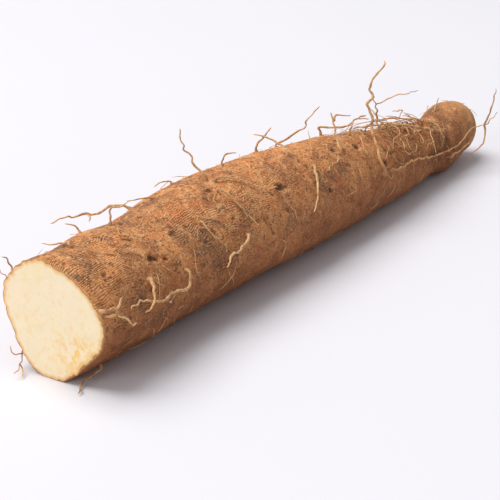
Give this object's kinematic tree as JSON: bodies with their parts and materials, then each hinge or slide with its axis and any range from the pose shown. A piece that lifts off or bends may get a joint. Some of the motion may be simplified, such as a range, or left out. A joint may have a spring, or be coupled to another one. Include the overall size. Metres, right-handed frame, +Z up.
{
  "type": "chinese yam tuber",
  "caption": "Long brown-skinned Chinese yam lying on its belly: one end cut flat to the cream flesh, a rounded knob at the crown end, thin dried roots along it.",
  "frame": {"origin": "on the table, under the middle of the tuber's length", "axes": "+X from the flat cut end along the tuber to the rounded crown end, +Z up from the table, +Y sideways"},
  "size_m": [0.477, 0.1023, 0.1075],
  "materials": {
    "tuber_skin": "dry matt corky skin, orange tan mottled with grey brown; the cut end is moist cream flesh",
    "root_fibre": "dry matt fibrous root, tan to reddish brown"
  },
  "bodies": {
    "root": {"tuber": "tuber_skin", "rim_root_high": "root_fibre", "rim_root_low": "root_fibre", "rim_root_cluster": "root_fibre", "foot_root": "root_fibre", "shoulder_root": "root_fibre", "flank_fork": "root_fibre", "flank_stub": "root_fibre", "flank_runner": "root_fibre", "middle_flank_root": "root_fibre", "tendril": "root_fibre", "ridge_loop": "root_fibre", "ridge_twig": "root_fibre", "ridge_spur": "root_fibre", "ridge_hook": "root_fibre", "ridge_needle": "root_fibre", "ridge_curl": "root_fibre", "middle_root_left": "root_fibre", "middle_root_cross": "root_fibre", "zigzag_root": "root_fibre", "zigzag_partner": "root_fibre", "crown_left_root": "root_fibre", "crown_strand": "root_fibre", "crown_tall_root": "root_fibre", "crown_fork_root": "root_fibre", "crown_loop_root": "root_fibre", "tangle_low": "root_fibre", "tangle_high": "root_fibre", "tangle_twig": "root_fibre", "neck_root": "root_fibre", "neck_stub": "root_fibre", "crown_long_root": "root_fibre", "crown_short_root": "root_fibre", "pit_root": "root_fibre", "shoulder_curl": "root_fibre", "flank_thread": "root_fibre", "long_flank_thread": "root_fibre", "neck_thread": "root_fibre", "waist_thread": "root_fibre", "waist_twig": "root_fibre", "collar_thread": "root_fibre", "fold_thread": "root_fibre"}
  },
  "joints": []
}
